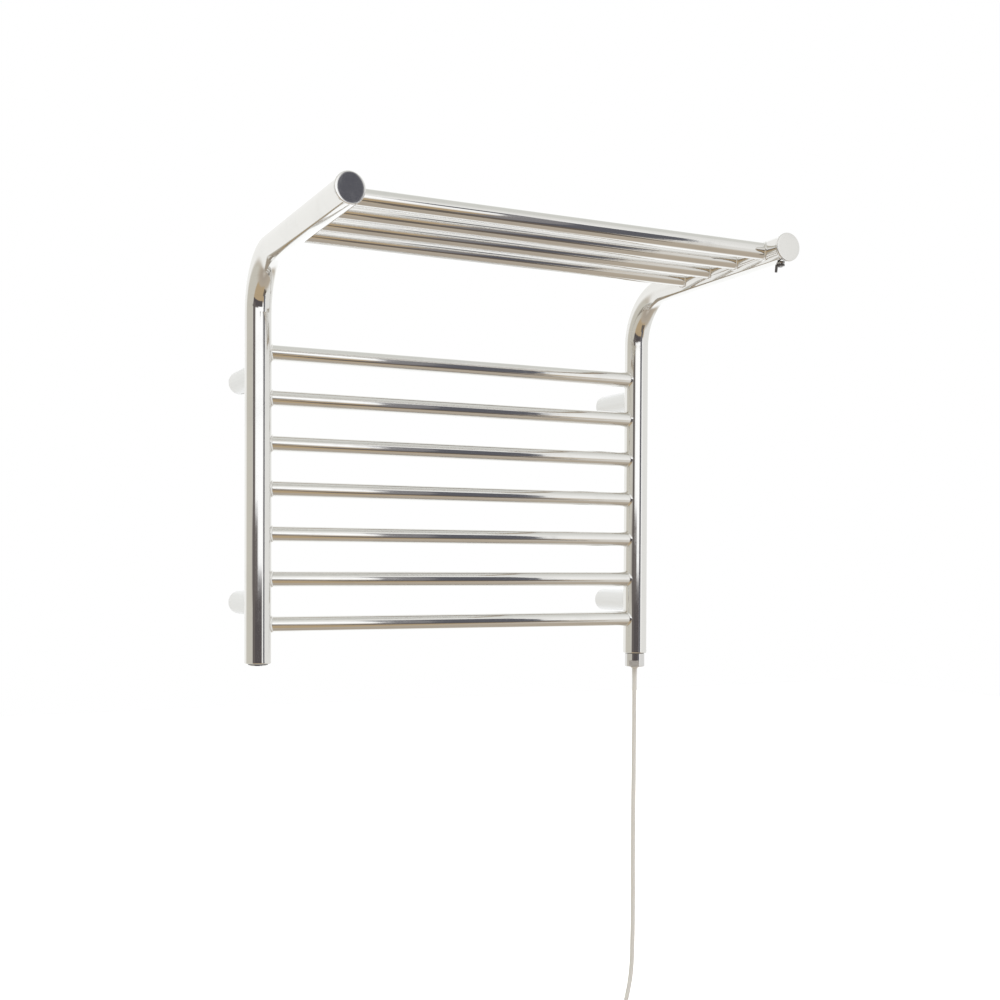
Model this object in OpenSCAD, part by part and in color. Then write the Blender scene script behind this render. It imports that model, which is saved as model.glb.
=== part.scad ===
// Wall-hung heated towel rail with a shelf.
// Two bent uprights carry seven rungs and, on their forward arms, four shelf bars.
// An immersion element in the right upright heats the filling, and an air vent lets it be filled.
// The wall is the plane y = 0, the rail stands towards -Y, and z = 0 is midway between the brackets.

/* [Rail] */
// Width over the two uprights
rail_w = 620; // [500:5:900]
// Outside diameter of the uprights and their arms
upright_d = 36; // [35:1:42]
// Outside diameter of the rungs and shelf bars
rung_d = 22; // [19:1:25]
// Wall thickness of every tube
tube_wall = 1.5; // [1.2:0.1:2]
// Height from one rung to the next
rung_pitch = 60; // [50:1:70]
// Length of upright below the lowest rung
tail_l = 52; // [45:1:80]
// Height of the middle rung above the point midway between the brackets
rung_lift = 1.5; // [0:0.5:5]

/* [Shelf] */
// Height of the arms above the top rung
arm_rise = 124; // [112:1:200]
// Radius of the upright's bend, to the tube's axis
bend_r = 74; // [60:1:90]
// Length from the upright's axis to the face of the front cap
arm_l = 362; // [350:1:450]
// Distance from the upright's axis to the front shelf bar
front_bar = 328; // [325:1:335]
// Distance from one shelf bar to the next
bar_pitch = 60.5; // [50:0.5:65]
// Thickness of the front caps and the bottom plates
cap_t = 3; // [2.5:0.5:4]
// Rounding of the caps' and plates' outer edges
cap_edge = 1.5; // [0.5:0.5:2]

/* [Wall brackets] */
// Distance from the wall to the uprights' axes
standoff = 95; // [80:1:120]
// Height between the upper and lower brackets
bracket_span = 303; // [280:1:320]
// Outside diameter of a bracket
bracket_d = 32; // [28:1:34]
// Diameter of the spigot that is screwed to the wall
spigot_d = 25; // [22:1:25]
// Length of the spigot
spigot_l = 35; // [25:1:40]
// Diameter of the wall screw's hole
screw_hole_d = 5.5; // [5:0.5:7]
// Diameter of the grub screws
grub_d = 5; // [4:0.5:6]

/* [Heating element] */
// Diameter of the element's head
head_d = 30; // [28:0.5:34]
// Height of the element's head
head_h = 19.5; // [16:0.5:26]
// Diameter of the element's rod
rod_d = 10; // [8:1:12]
// Length of the element's rod above the bottom plate
rod_l = 400; // [200:10:440]
// Width across the head's two spanner flats
head_flats = 26; // [24:0.5:29]
// Height of the spanner flats
flat_h = 9; // [7:0.5:12]
// Direction that the front flat faces, from -Y towards -X
flat_turn = 35; // [0:5:90]
// Diameter of the half-inch pipe thread in the bottom plates
port_d = 21; // [20.5:0.1:21.5]

/* [Cable] */
// Diameter of the cable
cable_d = 7; // [6.6:0.1:7.2]
// Diameter of one insulated core
core_d = 2.4; // [2:0.1:2.6]

/* [Air vent] */
// Distance from the front cap's face to the vent's axis
vent_back = 16; // [12:1:18]
// Diameter of the vent's thread
vent_thread_d = 8; // [7:0.5:10]
// Diameter of the vent's screw
vent_screw_d = 4; // [3:0.5:5]

/* [Hidden] */

$fn = 96;
slack = 0.05;           // radial gap between pieces that slide or screw into each other
through = 1;            // how far a cutter runs past the face that it opens

upright_r = upright_d / 2;
bore_r = upright_r - tube_wall;
rung_r = rung_d / 2;
axis_x = rail_w / 2 - upright_r;
axis_y = -standoff;

rung_count = 7;
bar_count = 4;
top_rung_z = rung_lift + (rung_count - 1) / 2 * rung_pitch;
bottom_z = top_rung_z - (rung_count - 1) * rung_pitch - tail_l;
arm_z = top_rung_z + arm_rise;
bend_z = arm_z - bend_r;
face_y = axis_y - arm_l;
bracket_z = bracket_span / 2;

// Colours of the polished tube, the satin brackets, and the small parts
polished = [0.82, 0.81, 0.79];
satin = [0.72, 0.72, 0.71];
brass_plate = [0.45, 0.44, 0.42];
dark_rubber = [0.09, 0.09, 0.09];
white_pvc = [0.93, 0.92, 0.90];

// ---- Uprights ----

// A solid round bar along an upright's centre line, from the bottom plate to the front cap
module bent_bar(r) {
    translate([0, 0, bottom_z + cap_t]) cylinder(r = r, h = bend_z - bottom_z - cap_t);
    translate([0, -bend_r, bend_z]) rotate([90, 0, 90])
        rotate_extrude(angle = 90) translate([bend_r, 0]) circle(r = r);
    translate([0, -bend_r, arm_z]) rotate([90, 0, 0]) cylinder(r = r, h = arm_l - cap_t - bend_r);
}

// A bent tube whose inner side, towards inner_side, is open to every rung and shelf bar
module bent_tube(inner_side) {
    port_r = rung_r - tube_wall;
    difference() {
        bent_bar(upright_r);
        // the bore runs out through both ends
        bent_bar(bore_r);
        translate([0, 0, bottom_z + cap_t - through]) cylinder(r = bore_r, h = 2 * through);
        translate([0, -(arm_l - cap_t - through), arm_z]) rotate([90, 0, 0])
            cylinder(r = bore_r, h = 2 * through);
        for (i = [0 : rung_count - 1])
            translate([0, 0, top_rung_z - i * rung_pitch]) rotate([0, 90 * inner_side, 0])
                cylinder(r = port_r, h = upright_d);
        for (i = [0 : bar_count - 1])
            translate([0, -front_bar + i * bar_pitch, arm_z]) rotate([0, 90 * inner_side, 0])
                cylinder(r = port_r, h = upright_d);
    }
}

module left_upright() {
    color(polished) translate([-axis_x, axis_y, 0]) bent_tube(1);
}

module right_upright() {
    color(polished) difference() {
        translate([axis_x, axis_y, 0]) bent_tube(-1);
        vent_shank(vent_thread_d / 2 + slack);
    }
}

// ---- Rungs and shelf bars ----

// A straight tube between the uprights' axes
module cross_tube() {
    translate([-axis_x, 0, 0]) rotate([0, 90, 0]) difference() {
        cylinder(r = rung_r, h = 2 * axis_x);
        translate([0, 0, -through]) cylinder(r = rung_r - tube_wall, h = 2 * axis_x + 2 * through);
    }
}

// A rung, with its ends scribed to the round of the uprights
module rung(i) {
    z = top_rung_z - i * rung_pitch;
    color(polished) translate([0, axis_y, z]) difference() {
        cross_tube();
        for (side = [-1, 1])
            translate([side * axis_x, 0, -rung_d]) cylinder(r = upright_r, h = 2 * rung_d);
    }
}

// A shelf bar, with its ends scribed to the round of the arms; the first is the front one
module shelf_bar(i) {
    y = axis_y - front_bar + i * bar_pitch;
    color(polished) translate([0, y, arm_z]) difference() {
        cross_tube();
        for (side = [-1, 1])
            translate([side * axis_x, rung_d, 0]) rotate([90, 0, 0]) cylinder(r = upright_r, h = 2 * rung_d);
    }
}

// ---- Caps and bottom plates ----

// Outline of a disc of radius r and thickness t, with its outer edge on the z = 0 side rounded
module rounded_disc_outline(r, t, e) {
    square([r - e, t]);
    translate([0, e]) square([r, t - e]);
    translate([r - e, e]) circle(r = e);
}

// A disc that closes a tube, with a rim that centres it in the tube's bore
module end_disc() {
    rim_l = 2;
    rotate_extrude() intersection() {
        union() {
            rounded_disc_outline(upright_r, cap_t, cap_edge);
            square([bore_r - slack, cap_t + rim_l]);
        }
        square([upright_r, cap_t + rim_l]);
    }
}

module front_cap(side) {
    color(polished) translate([side * axis_x, face_y, arm_z]) rotate([-90, 0, 0]) end_disc();
}
module left_front_cap() { front_cap(-1); }
module right_front_cap() { front_cap(1); }

// Bottom plate with a threaded half-inch port
module bottom_plate(side) {
    boss_wall = 3;
    boss_r = port_d / 2 + boss_wall;
    boss_l = 12;
    color(polished) translate([side * axis_x, axis_y, bottom_z]) difference() {
        union() {
            end_disc();
            cylinder(r = boss_r, h = boss_l);
        }
        translate([0, 0, -through]) cylinder(d = port_d, h = boss_l + 2 * through);
    }
}
module left_bottom_plate() { bottom_plate(-1); }
module right_bottom_plate() { bottom_plate(1); }

// ---- Wall brackets ----

grub_y = -18;           // the grub screws' distance from the wall
sleeve_gap = 1;         // the sleeves stop this far from the wall

// Places a bracket piece, drawn with the wall at y = 0 and its axis on z = 0
module at_bracket(side, level) {
    translate([side * axis_x, 0, level * bracket_z]) children();
}

// A sleeve welded to the back of the upright, with a tapped hole below for its grub screw
module bracket_sleeve(side, level) {
    chamfer = 1.2;
    sleeve_l = standoff - sleeve_gap;
    color(satin) at_bracket(side, level) difference() {
        translate([0, -sleeve_gap, 0]) rotate([90, 0, 0]) union() {
            cylinder(r1 = bracket_d / 2 - chamfer, r2 = bracket_d / 2, h = chamfer);
            translate([0, 0, chamfer]) cylinder(d = bracket_d, h = sleeve_l - chamfer);
        }
        translate([0, through, 0]) rotate([90, 0, 0])
            cylinder(d = spigot_d + 2 * slack, h = standoff + through);
        translate([0, 0, -bracket_d]) translate([0, grub_y, 0]) cylinder(d = grub_d, h = bracket_d);
        translate([0, axis_y, -bracket_d]) cylinder(r = upright_r, h = 2 * bracket_d);
    }
}
module bracket_sleeve_upper_left() { bracket_sleeve(-1, 1); }
module bracket_sleeve_upper_right() { bracket_sleeve(1, 1); }
module bracket_sleeve_lower_left() { bracket_sleeve(-1, -1); }
module bracket_sleeve_lower_right() { bracket_sleeve(1, -1); }

// A spigot screwed to the wall through a countersunk hole
module wall_spigot(side, level) {
    sink = screw_hole_d / 2;
    color(satin) at_bracket(side, level) rotate([90, 0, 0]) difference() {
        cylinder(d = spigot_d, h = spigot_l);
        translate([0, 0, -through]) cylinder(d = screw_hole_d, h = spigot_l + 2 * through);
        translate([0, 0, spigot_l - sink]) cylinder(d1 = screw_hole_d, d2 = 2 * screw_hole_d, h = sink);
    }
}
module wall_spigot_upper_left() { wall_spigot(-1, 1); }
module wall_spigot_upper_right() { wall_spigot(1, 1); }
module wall_spigot_lower_left() { wall_spigot(-1, -1); }
module wall_spigot_lower_right() { wall_spigot(1, -1); }

// One grub screw to each bracket, with a hexagon socket below
module grub_screws() {
    key = 2.5;
    key_l = 2;
    sunk = 0.4;
    color(brass_plate) for (side = [-1, 1], level = [-1, 1])
        at_bracket(side, level) translate([0, grub_y, -bracket_d / 2 + sunk]) difference() {
            cylinder(d = grub_d - 2 * slack, h = (bracket_d - spigot_d) / 2 - sunk);
            translate([0, 0, -through]) cylinder(d = key, h = through + key_l, $fn = 6);
        }
}

// ---- Blanking plug in the left upright ----

plug_seal_t = 1.5;      // thickness of the plug's seal

// A plug with a thin rim and a hexagon socket below
module blanking_plug() {
    rim_r = 11.2;
    rim_t = 1;
    thread_l = 9;       // length of thread inside the bottom plate
    key = 10;
    key_l = 5;
    color(polished) translate([-axis_x, axis_y, bottom_z - plug_seal_t]) difference() {
        union() {
            translate([0, 0, -rim_t]) cylinder(r = rim_r, h = rim_t);
            cylinder(d = port_d - 2 * slack, h = plug_seal_t + thread_l);
        }
        translate([0, 0, -rim_t - through]) cylinder(d = key, h = through + rim_t + key_l, $fn = 6);
    }
}

module plug_seal() {
    seal_r = 13;
    color(dark_rubber) translate([-axis_x, axis_y, bottom_z - plug_seal_t]) difference() {
        cylinder(r = seal_r, h = plug_seal_t);
        translate([0, 0, -through]) cylinder(d = port_d, h = plug_seal_t + 2 * through);
    }
}

// ---- Heating element in the right upright ----

seal_t = 0.8;           // thickness of the element's seal
head_top_z = bottom_z - seal_t;
head_bottom_z = head_top_z - head_h;
gland_in = 12;          // how far the cable gland reaches up into the head
gland_in_d = 12;
gland_flare = 3.2;      // height of the gland's flare below the head
gland_boot = 14;        // length of the gland's slim end
cable_top_z = head_bottom_z - gland_flare - gland_boot;
rod_foot_z = bottom_z + 6;              // where the rod stands in the head's spigot

// The rod of the element, with a round tip, held in the head's spigot
module element_rod() {
    color(satin) translate([axis_x, axis_y, rod_foot_z]) {
        cylinder(d = rod_d, h = rod_l - rod_d / 2);
        translate([0, 0, rod_l - rod_d / 2]) intersection() {
            sphere(d = rod_d);
            cylinder(d = 2 * rod_d, h = rod_d);
        }
    }
}

module element_head() {
    bevel = 0.6;
    spigot_top = rod_foot_z + 8;
    color(polished) translate([axis_x, axis_y, 0]) difference() {
        union() {
            translate([0, 0, head_bottom_z])
                cylinder(r1 = head_d / 2 - bevel, r2 = head_d / 2, h = bevel);
            translate([0, 0, head_bottom_z + bevel]) cylinder(d = head_d, h = head_h - bevel);
            translate([0, 0, head_top_z]) cylinder(d = port_d - 2 * slack, h = spigot_top - head_top_z);
        }
        translate([0, 0, rod_foot_z]) cylinder(d = rod_d, h = spigot_top - rod_foot_z + through);
        translate([0, 0, head_bottom_z - through]) cylinder(d = gland_in_d, h = gland_in + through);
        rotate([0, 0, -flat_turn]) for (side = [-1, 1])
            translate([-head_d / 2, side > 0 ? head_flats / 2 : -head_flats / 2 - head_d,
                head_bottom_z - through]) cube([head_d, head_d, flat_h + through]);
    }
}

module element_seal() {
    inset = 1.2;        // how far the seal's edge lies inside the head's
    color(dark_rubber) translate([axis_x, axis_y, head_top_z]) difference() {
        cylinder(d = head_d - 2 * inset, h = seal_t);
        translate([0, 0, -through]) cylinder(d = port_d, h = seal_t + 2 * through);
    }
}

// A moulded gland: a plug in the head, a short flare, and a slim boot round the cable
module cable_gland() {
    flare_d = 14.8;
    boot_d = 7.7;
    color(white_pvc) translate([axis_x, axis_y, 0]) {
        translate([0, 0, head_bottom_z]) cylinder(d = gland_in_d, h = gland_in);
        translate([0, 0, head_bottom_z - gland_flare])
            cylinder(d1 = boot_d, d2 = flare_d, h = gland_flare);
        translate([0, 0, cable_top_z]) cylinder(d1 = cable_d, d2 = boot_d, h = gland_boot);
    }
}

// ---- Cable ----

// The cable's own route, from the gland down to the first run of the hank
cable_route = [
    [292, -95, -268], [292, -95, -290], [292, -95, -315], [292, -95, -345], [291, -96, -380],
    [291, -96, -420], [290, -97, -465], [290, -97, -510], [290, -97, -555], [291, -96, -600],
    [291, -96, -640], [291, -95, -675], [290, -95, -705], [287, -95, -730], [282, -95, -753],
    [276, -95, -775], [272, -95, -796], [271, -95, -815]];
cable_sides = 10;

// Direction of the route at point i, from its neighbours
function route_dir(p, i) =
    let (a = p[max(i - 1, 0)], b = p[min(i + 1, len(p) - 1)]) (b - a) / norm(b - a);

// Corners of the ring at point i, square to the route, with its first corner towards +X
function route_ring(p, i, r) =
    let (t = i == 0 ? [0, 0, -1] : route_dir(p, i),
         u = cross([0, 1, 0], t) / norm(cross([0, 1, 0], t)), v = cross(t, u))
    [for (k = [0 : cable_sides - 1]) let (a = 360 * k / cable_sides) p[i] + r * (cos(a) * u + sin(a) * v)];

// A tube of radius r along the points p, as one closed polyhedron
module swept_tube(p, r) {
    n = len(p);
    s = cable_sides;
    corners = [for (i = [0 : n - 1]) each route_ring(p, i, r)];
    walls = [for (i = [0 : n - 2], k = [0 : s - 1])
        [i * s + k, (i + 1) * s + k, (i + 1) * s + (k + 1) % s, i * s + (k + 1) % s]];
    top = [for (k = [0 : s - 1]) k];
    end = [for (k = [s - 1 : -1 : 0]) (n - 1) * s + k];
    polyhedron(corners, concat(walls, [top], [end]));
}

module cable_drop() {
    color(white_pvc) swept_tube(cable_route, cable_d / 2);
}

// The hank: a flat winding with round ends, hung in line with the drop
hank_x = 292;
hank_top_z = -800;      // centre of the upper fold
hank_bottom_z = -880;   // centre of the lower fold
hank_fold_r = 21;       // radius of the folds, to the cable's axis
hank_front_y = -98.5;
hank_t = 24.5;

module hank_outline(r) {
    for (z = [hank_top_z, hank_bottom_z]) translate([hank_x, z]) circle(r = r);
    translate([hank_x - r, hank_bottom_z]) square([2 * r, hank_top_z - hank_bottom_z]);
}

module cable_hank() {
    color(white_pvc) translate([0, hank_front_y + hank_t, 0]) rotate([90, 0, 0])
        linear_extrude(height = hank_t) hank_outline(hank_fold_r + cable_d / 2);
}

// A plastic tie round the middle of the hank, with its lock in front
module cable_tie() {
    tie_t = 1.2;
    tie_h = 5;
    lock_w = 8;
    lock_t = 4;
    half = hank_fold_r + cable_d / 2;
    mid_z = (hank_top_z + hank_bottom_z) / 2;
    color(white_pvc) {
        difference() {
            translate([hank_x - half - tie_t, hank_front_y - tie_t, mid_z - tie_h / 2])
                cube([2 * (half + tie_t), hank_t + 2 * tie_t, tie_h]);
            translate([hank_x - half, hank_front_y, mid_z - tie_h])
                cube([2 * half, hank_t, 2 * tie_h]);
        }
        translate([hank_x - lock_w / 2, hank_front_y - tie_t - lock_t, mid_z - lock_w / 2])
            cube([lock_w, lock_t, lock_w]);
    }
}

// The three insulated cores at the cable's bare end, which points down out of the hank's last run
core_y = -77.9;
core_z = -893;
core_l = 32;
core_out = 1.45;        // from the cable's axis to a core's

module cable_core(turn) {
    translate([hank_x - hank_fold_r, core_y, core_z]) rotate([0, 0, turn])
        translate([core_out, 0, -core_l]) cylinder(d = core_d, h = core_l);
}
module core_brown() { color([0.35, 0.18, 0.08]) cable_core(90); }
module core_blue() { color([0.10, 0.25, 0.65]) cable_core(210); }
module core_earth() { color([0.45, 0.65, 0.10]) cable_core(330); }

// ---- Air vent under the right arm ----

vent_y = face_y + vent_back;
arm_bottom_z = arm_z - upright_r;
vent_neck_r = vent_thread_d / 2 - 0.2;
vent_lip_r = vent_neck_r + 0.5;
vent_flange_z = arm_bottom_z - 1;       // underside of the flange that the nozzle turns under
vent_lip_z = vent_flange_z - 2.2;       // top of the lip that keeps the nozzle on
vent_end_z = vent_lip_z - 0.4;
vent_shank_l = 16;
screw_l = 12;           // length of the vent's screw under its head

// The cylinder that the vent's thread fills, from the flange up into the bush
module vent_shank(r) {
    translate([axis_x, vent_y, vent_flange_z]) cylinder(r = r, h = vent_shank_l);
}

// The solid round of the arm, which the vent's flange is shaped to
module arm_round(r) {
    length = 40;
    translate([axis_x, vent_y + length / 2, arm_z]) rotate([90, 0, 0]) cylinder(r = r, h = length);
}

// A threaded bush welded inside the arm
module vent_bush() {
    bush_r = 7;
    bush_l = 9;
    color(polished) difference() {
        intersection() {
            translate([axis_x, vent_y, arm_z - bore_r]) cylinder(r = bush_r, h = bush_l);
            arm_round(bore_r);
        }
        vent_shank(vent_thread_d / 2 + slack);
    }
}

module vent_body() {
    flange_r = 5.3;
    flange_l = 8;       // before its top is shaped to the arm
    screw_room = 2;     // empty length above the screw
    color(brass_plate) difference() {
        union() {
            difference() {
                translate([axis_x, vent_y, vent_flange_z]) cylinder(r = flange_r, h = flange_l);
                arm_round(upright_r);
            }
            vent_shank(vent_thread_d / 2);
            translate([axis_x, vent_y, vent_end_z]) cylinder(r = vent_neck_r, h = vent_flange_z - vent_end_z);
            translate([axis_x, vent_y, vent_end_z]) cylinder(r = vent_lip_r, h = vent_lip_z - vent_end_z);
        }
        translate([axis_x, vent_y, vent_end_z - through])
            cylinder(d = vent_screw_d + 2 * slack, h = screw_l + screw_room + through);
    }
}

// A ring that turns on the vent's neck, with a spout that aims the air and water down
module vent_nozzle() {
    play = 0.2;
    ring_h = vent_flange_z - vent_lip_z - 2 * play;
    ring_r = 5.4;
    spout_r = 1.7;
    spout_bore_r = 0.9;
    spout_l = 9.5;
    spout_lean = 6;
    spout_x = -ring_r - 0.5;
    color(dark_rubber) translate([axis_x, vent_y, vent_lip_z + play]) difference() {
        union() {
            cylinder(r = ring_r, h = ring_h);
            translate([spout_x, 0, ring_h / 2]) rotate([0, 180 + spout_lean, 0])
                cylinder(r = spout_r, h = spout_l);
        }
        translate([0, 0, -spout_l - through]) cylinder(r = vent_neck_r + slack, h = 2 * (spout_l + through));
        translate([0, 0, -spout_l - through]) cylinder(r = vent_lip_r + play, h = spout_l + through - play / 2);
        translate([spout_x, 0, ring_h / 2]) rotate([0, 180 + spout_lean, 0])
            cylinder(r = spout_bore_r, h = spout_l + through);
    }
}

// The screw that opens the vent, slotted for a coin or a screwdriver
module vent_screw() {
    screw_head_r = 3;
    screw_head_h = 0.8;
    lift = 0.2;
    slot_w = 1;
    slot_l = 0.5;       // depth of the slot
    color(brass_plate) translate([axis_x, vent_y, vent_end_z - lift]) difference() {
        union() {
            cylinder(d = vent_screw_d, h = screw_l);
            translate([0, 0, -screw_head_h]) cylinder(r = screw_head_r, h = screw_head_h);
        }
        translate([-screw_head_r - through, -slot_w / 2, -screw_head_h - through])
            cube([2 * (screw_head_r + through), slot_w, slot_l + through]);
    }
}

left_upright();
right_upright();
rung(0);  // rung_1
rung(1);  // rung_2
rung(2);  // rung_3
rung(3);  // rung_4
rung(4);  // rung_5
rung(5);  // rung_6
rung(6);  // rung_7
shelf_bar(0);  // shelf_bar_1
shelf_bar(1);  // shelf_bar_2
shelf_bar(2);  // shelf_bar_3
shelf_bar(3);  // shelf_bar_4
left_front_cap();
right_front_cap();
left_bottom_plate();
right_bottom_plate();
bracket_sleeve_upper_left();
bracket_sleeve_upper_right();
bracket_sleeve_lower_left();
bracket_sleeve_lower_right();
wall_spigot_upper_left();
wall_spigot_upper_right();
wall_spigot_lower_left();
wall_spigot_lower_right();
grub_screws();
blanking_plug();
plug_seal();
element_rod();
element_head();
element_seal();
cable_gland();
cable_drop();
cable_hank();
cable_tie();
core_brown();
core_blue();
core_earth();
vent_bush();
vent_body();
vent_nozzle();
vent_screw();
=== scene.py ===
import math

import bmesh
import bpy
from mathutils import Matrix, Vector


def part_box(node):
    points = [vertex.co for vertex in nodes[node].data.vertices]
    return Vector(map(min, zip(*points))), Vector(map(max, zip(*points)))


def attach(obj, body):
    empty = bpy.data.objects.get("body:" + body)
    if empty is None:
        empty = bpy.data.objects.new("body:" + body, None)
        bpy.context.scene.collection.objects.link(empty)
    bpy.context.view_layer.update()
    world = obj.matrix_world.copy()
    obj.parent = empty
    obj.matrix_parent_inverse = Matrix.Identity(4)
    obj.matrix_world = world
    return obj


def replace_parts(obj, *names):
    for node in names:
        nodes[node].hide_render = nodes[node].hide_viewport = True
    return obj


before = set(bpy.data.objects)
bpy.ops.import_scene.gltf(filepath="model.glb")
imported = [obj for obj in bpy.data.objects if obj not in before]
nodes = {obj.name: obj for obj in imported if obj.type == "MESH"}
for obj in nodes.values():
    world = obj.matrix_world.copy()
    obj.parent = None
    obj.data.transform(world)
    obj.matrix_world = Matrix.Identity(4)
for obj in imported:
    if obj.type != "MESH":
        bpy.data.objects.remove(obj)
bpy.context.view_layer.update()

# ---- Uprights ----
# Two 36 mm stainless tubes, each bent forward at the top into a shelf arm and closed at both ends.
# The tube is belt-ground along its length and then buffed to a mirror, which leaves faint long lines,
# a slight waviness in what it mirrors, and the dull bloom that hands and towels leave.

UPRIGHT_RADIUS = 0.018
LEFT_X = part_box("left_bottom_plate")[0].x + UPRIGHT_RADIUS
RIGHT_X = -LEFT_X
UPRIGHT_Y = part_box("left_bottom_plate")[0].y + UPRIGHT_RADIUS
ARM_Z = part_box("left_upright")[1].z - UPRIGHT_RADIUS
BEND_RADIUS = 0.074
STEEL = (0.80, 0.79, 0.77)


def add_node(tree, kind, settings=None, **values):
    """One node, with its settings, and its inputs set to plain values or linked from sockets."""
    node = tree.nodes.new(kind)
    for name, value in (settings or {}).items():
        setattr(node, name, value)
    for name, value in values.items():
        socket = node.inputs[int(name[1:]) if name[1:].isdigit() else name.replace("_", " ")]
        if isinstance(value, bpy.types.NodeSocket):
            tree.links.new(value, socket)
        else:
            socket.default_value = value
    return node


def new_group(name, inputs, outputs):
    """An empty shader node group with named inputs and outputs."""
    group = bpy.data.node_groups.new(name, "ShaderNodeTree")
    for label, kind, value in inputs:
        socket = group.interface.new_socket(label, in_out="INPUT", socket_type=kind)
        if value is not None:
            socket.default_value = value
    for label, kind in outputs:
        group.interface.new_socket(label, in_out="OUTPUT", socket_type=kind)
    return group, group.nodes.new("NodeGroupInput").outputs, group.nodes.new("NodeGroupOutput").inputs


def math_node(tree, operation, *terms):
    """The result of one sum, for terms that are numbers or sockets."""
    return add_node(tree, "ShaderNodeMath", {"operation": operation},
                    **{f"i{i}": t for i, t in enumerate(terms)}).outputs[0]


def fade(tree, value, low, high):
    """A smooth step from 0 at low to 1 at high."""
    return add_node(tree, "ShaderNodeMapRange", {"interpolation_type": "SMOOTHSTEP"}, Value=value,
                    From_Min=low, From_Max=high, To_Min=0.0, To_Max=1.0).outputs[0]


def noise(tree, place, scale, detail=2.0, roughness=0.5):
    """Noise, 0 to 1, at a place given in metres."""
    return add_node(tree, "ShaderNodeTexNoise", Vector=place, Scale=scale, Detail=detail,
                    Roughness=roughness).outputs["Fac"]


def scaled(tree, vector, factors):
    """A vector times a factor for each of its parts."""
    return add_node(tree, "ShaderNodeVectorMath", {"operation": "MULTIPLY"}, i0=vector, i1=factors).outputs[0]


def object_place(tree):
    """Where a point is on the piece, in metres."""
    return add_node(tree, "ShaderNodeTexCoord").outputs["Object"]


def make_polish_group():
    """Long buffing lines, waviness and hand bloom, for a point given along, across and around a piece."""
    group, given, out = new_group(
        "buffed polish",
        [("Vector", "NodeSocketVector", None), ("Line Width", "NodeSocketFloat", 0.0004),
         ("Roughness", "NodeSocketFloat", 0.06), ("Bloom", "NodeSocketFloat", 0.05),
         ("Waviness", "NodeSocketFloat", 0.00004)],
        [("Roughness", "NodeSocketFloat"), ("Height", "NodeSocketFloat"), ("Tone", "NodeSocketFloat")])
    lines_per_metre = math_node(group, "DIVIDE", 1.0, given["Line Width"])
    stretch = add_node(group, "ShaderNodeCombineXYZ", X=6.0, Y=lines_per_metre, Z=lines_per_metre).outputs[0]
    lines = noise(group, scaled(group, given["Vector"], stretch), 1.0, 3.0, 0.65)
    hands = noise(group, given["Vector"], 22.0, 4.0, 0.6)
    dull = fade(group, hands, 0.48, 0.74)
    ripples = noise(group, given["Vector"], 38.0, 1.0, 0.4)
    line_roughness = 0.05
    line_depth = 0.0000007
    rough = math_node(group, "MULTIPLY_ADD", lines, line_roughness, given["Roughness"])
    rough = math_node(group, "MULTIPLY_ADD", dull, given["Bloom"], rough)
    group.links.new(math_node(group, "SUBTRACT", rough, line_roughness / 2), out["Roughness"])
    height = math_node(group, "MULTIPLY", ripples, given["Waviness"])
    group.links.new(math_node(group, "MULTIPLY_ADD", lines, line_depth, height), out["Height"])
    tone = math_node(group, "MULTIPLY_ADD", lines, -0.05, 1.02)
    group.links.new(math_node(group, "MULTIPLY_ADD", dull, -0.035, tone), out["Tone"])
    return group


polish = make_polish_group()


def along_axis(tree, axis):
    """Object coordinates turned so that x runs along the piece's own axis, X, Y or Z."""
    place = object_place(tree)
    if axis == "X":
        return place
    parts = add_node(tree, "ShaderNodeSeparateXYZ", Vector=place).outputs
    first, second, third = {"Y": (1, 2, 0), "Z": (2, 0, 1)}[axis]
    return add_node(tree, "ShaderNodeCombineXYZ", X=parts[first], Y=parts[second], Z=parts[third]).outputs[0]


def along_bent_tube(tree):
    """The same for an upright: its run up the wall, then its arm, crossing over inside the bend."""
    height = add_node(tree, "ShaderNodeSeparateXYZ", Vector=object_place(tree)).outputs[2]
    on_arm = fade(tree, height, ARM_Z - 0.8 * BEND_RADIUS, ARM_Z - 0.3 * BEND_RADIUS)
    return add_node(tree, "ShaderNodeMix", {"data_type": "VECTOR"}, Factor=on_arm, i4=along_axis(tree, "Z"),
                    i5=along_axis(tree, "Y")).outputs[1]


def new_material(name):
    """A material with the usual shader, and the two things that are edited in it."""
    material = bpy.data.materials.new(name)
    material.use_nodes = True
    return material, material.node_tree, material.node_tree.nodes["Principled BSDF"]


def finish_metal(name, colour, where, group=None, **amounts):
    """A metal material whose colour, roughness and bump come from a finish group's pattern at where."""
    material, tree, shader = new_material(name)
    shader.inputs["Metallic"].default_value = 1.0
    pattern = add_node(tree, "ShaderNodeGroup", {"node_tree": group or polish}, Vector=where(tree))
    for label, value in amounts.items():
        pattern.inputs[label.replace("_", " ")].default_value = value
    tint = add_node(tree, "ShaderNodeVectorMath", {"operation": "SCALE"}, i0=colour,
                    Scale=pattern.outputs["Tone"])
    tree.links.new(tint.outputs[0], shader.inputs["Base Color"])
    tree.links.new(pattern.outputs["Roughness"], shader.inputs["Roughness"])
    bump = add_node(tree, "ShaderNodeBump", Strength=1.0, Distance=1.0, Height=pattern.outputs["Height"])
    tree.links.new(bump.outputs["Normal"], shader.inputs["Normal"])
    return material


def dress(material, slot_name, *names):
    """Gives carried-over pieces their material. The finish name it is given, slot_name, is not used."""
    for name in names:
        nodes[name].data.materials.clear()
        nodes[name].data.materials.append(material)


mirror_upright = finish_metal("mirror steel uprights", STEEL, along_bent_tube)
dress(mirror_upright, "polished_steel", "left_upright", "right_upright")

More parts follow.
